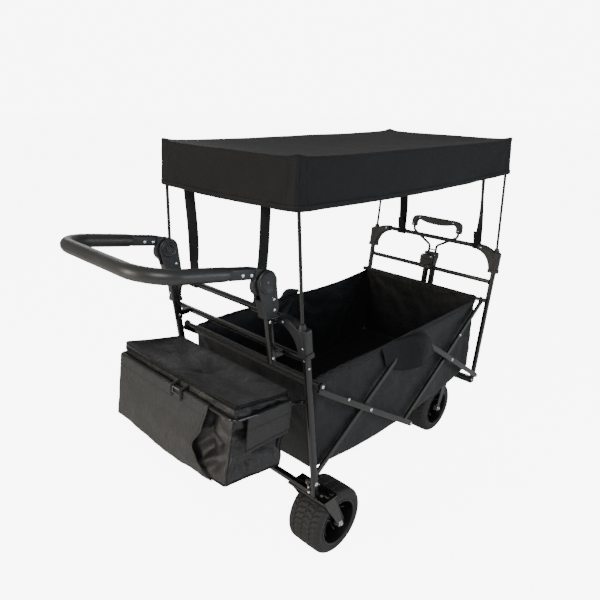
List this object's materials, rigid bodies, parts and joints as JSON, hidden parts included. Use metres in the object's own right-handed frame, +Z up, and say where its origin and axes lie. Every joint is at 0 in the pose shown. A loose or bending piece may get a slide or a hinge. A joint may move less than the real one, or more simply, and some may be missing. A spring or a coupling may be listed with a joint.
{
  "type": "folding kids pull wagon",
  "caption": "Folding kids wagon: fabric basket on a double scissor frame, canopy on poles, push handle, storage bag, wide castered wheels and a telescopic pull handle.",
  "frame": {"origin": "on the floor under the middle of the overall length and width", "axes": "+X towards the pull-handle end, +Y to the left side, +Z up"},
  "size_m": [1.5268, 0.662, 1.2105],
  "materials": {
    "steel": "satin black powder coat",
    "tube": "satin black powder coat",
    "plastic": "fine moulded grain",
    "foam": "closed-cell foam, satin",
    "tyre_rubber": "moulded tread",
    "canvas": "woven polyester",
    "nylon": "wrinkled coated nylon",
    "webbing": "woven webbing",
    "zinc": "bright zinc"
  },
  "bodies": {
    "root": {"rear_frame": "steel", "rear_top_bar": "steel", "rear_bracket_right": "plastic", "rear_bracket_left": "plastic", "rear_canopy_pole_right": "tube", "rear_canopy_pole_left": "tube", "rear_fork_right": "steel", "rear_fork_left": "steel", "rear_axle_right": "zinc", "rear_axle_left": "zinc", "handle_arm_right": "tube", "handle_arm_left": "tube", "handle_hinge_base_right": "plastic", "handle_hinge_base_left": "plastic", "rear_strap_right": "webbing", "rear_strap_left": "webbing", "storage_bag": "nylon", "bag_loop": "steel", "canopy": "canvas", "basket": "canvas"},
    "push_handle": {"push_handle_tube": "tube", "push_handle_grip": "foam", "handle_hinge_arm_right": "plastic", "handle_hinge_arm_left": "plastic"},
    "bag_lid": {"bag_lid": "nylon"},
    "rear_inner_links": {"rear_inner_link_right": "steel", "rear_inner_link_left": "steel"},
    "rear_outer_links": {"rear_outer_link_right": "steel", "rear_outer_link_left": "steel", "rear_basket_rod": "steel"},
    "front_outer_links": {"front_outer_link_right": "steel", "front_outer_link_left": "steel"},
    "front_inner_links": {"front_inner_link_right": "steel", "front_inner_link_left": "steel", "front_basket_rod": "steel"},
    "front_frame": {"front_frame": "steel", "front_top_bar": "steel", "front_bracket_right": "plastic", "front_bracket_left": "plastic", "front_canopy_pole_right": "tube", "front_canopy_pole_left": "tube", "front_strap_right": "webbing", "front_strap_left": "webbing"},
    "pull_handle": {"pull_handle_tubes": "tube"},
    "pull_handle_slide": {"pull_handle_rods": "tube", "pull_handle_grip": "plastic"},
    "rear_wheel_right": {"rear_rim_right": "plastic", "rear_tyre_right": "tyre_rubber"},
    "hinge_button_right": {"hinge_button_right": "plastic"},
    "caster_right": {"caster_fork_right": "steel", "caster_axle_right": "zinc"},
    "front_wheel_right": {"front_rim_right": "plastic", "front_tyre_right": "tyre_rubber"},
    "rear_wheel_left": {"rear_rim_left": "plastic", "rear_tyre_left": "tyre_rubber"},
    "hinge_button_left": {"hinge_button_left": "plastic"},
    "caster_left": {"caster_fork_left": "steel", "caster_axle_left": "zinc"},
    "front_wheel_left": {"front_rim_left": "plastic", "front_tyre_left": "tyre_rubber"}
  },
  "joints": [
    {"name": "fold", "type": "hinge", "parent": "root", "child": "rear_inner_links", "pos_m": [-0.3028, 0, 0.2855], "axis": [0, -1, 0], "range_deg": [0, 46], "deforming": ["canopy", "basket"]},
    {"name": "rear_outer_turn", "type": "hinge", "parent": "rear_inner_links", "child": "rear_outer_links", "pos_m": [-0.06998, 0, 0.437], "axis": [0, -1, 0], "range_deg": [-92, 0]},
    {"name": "front_outer_turn", "type": "hinge", "parent": "rear_inner_links", "child": "front_outer_links", "pos_m": [0.1782, 0, 0.5985], "axis": [0, -1, 0], "range_deg": [-92, 0]},
    {"name": "front_frame_turn", "type": "hinge", "parent": "front_outer_links", "child": "front_frame", "pos_m": [0.6592, 0, 0.2855], "axis": [0, -1, 0], "range_deg": [0, 46]},
    {"name": "front_inner_turn", "type": "hinge", "parent": "front_outer_links", "child": "front_inner_links", "pos_m": [0.42638, 0, 0.437], "axis": [0, -1, 0], "range_deg": [0, 92]},
    {"name": "push_handle_tilt", "type": "hinge", "parent": "root", "child": "push_handle", "pos_m": [-0.4298, 0, 0.9065], "axis": [0, 1, 0], "range_deg": [-50, 60]},
    {"name": "bag_lid_open", "type": "hinge", "parent": "root", "child": "bag_lid", "pos_m": [-0.3688, 0, 0.5875], "axis": [0, 1, 0], "range_deg": [0, 45]},
    {"name": "pull_handle_tilt", "type": "hinge", "parent": "front_frame", "child": "pull_handle", "pos_m": [0.6799, 0, 0.2745], "axis": [0, 1, 0], "range_deg": [0, 90]},
    {"name": "pull_handle_extend", "type": "slide", "parent": "pull_handle", "child": "pull_handle_slide", "axis": [0.1213, 0, 0.9926], "range_m": [0, 0.28]},
    {"name": "rear_wheel_spin_right", "type": "hinge", "parent": "root", "child": "rear_wheel_right", "pos_m": [-0.2138, -0.257, 0.1075], "axis": [0, 1, 0], "continuous": true},
    {"name": "caster_swivel_right", "type": "hinge", "parent": "front_frame", "child": "caster_right", "pos_m": [0.6342, -0.12, 0.2225], "axis": [0, 0, 1], "continuous": true},
    {"name": "front_wheel_spin_right", "type": "hinge", "parent": "caster_right", "child": "front_wheel_right", "pos_m": [0.5982, -0.12, 0.1075], "axis": [0, 1, 0], "continuous": true},
    {"name": "hinge_button_press_right", "type": "slide", "parent": "root", "child": "hinge_button_right", "axis": [0, -1, 0], "range_m": [0, 0.0025], "stiffness_N_per_m": 60, "springref_m": -0.001},
    {"name": "rear_wheel_spin_left", "type": "hinge", "parent": "root", "child": "rear_wheel_left", "pos_m": [-0.2138, 0.257, 0.1075], "axis": [0, 1, 0], "continuous": true},
    {"name": "caster_swivel_left", "type": "hinge", "parent": "front_frame", "child": "caster_left", "pos_m": [0.6342, 0.12, 0.2225], "axis": [0, 0, 1], "continuous": true},
    {"name": "front_wheel_spin_left", "type": "hinge", "parent": "caster_left", "child": "front_wheel_left", "pos_m": [0.5982, 0.12, 0.1075], "axis": [0, 1, 0], "continuous": true},
    {"name": "hinge_button_press_left", "type": "slide", "parent": "root", "child": "hinge_button_left", "axis": [0, 1, 0], "range_m": [0, 0.0025], "stiffness_N_per_m": 60, "springref_m": -0.001}
  ],
  "couplings": [
    {"joint": "rear_outer_turn", "follows": "fold", "ratio": -2},
    {"joint": "front_outer_turn", "follows": "fold", "ratio": -2},
    {"joint": "front_frame_turn", "follows": "fold", "ratio": 1},
    {"joint": "front_inner_turn", "follows": "fold", "ratio": 2}
  ]
}
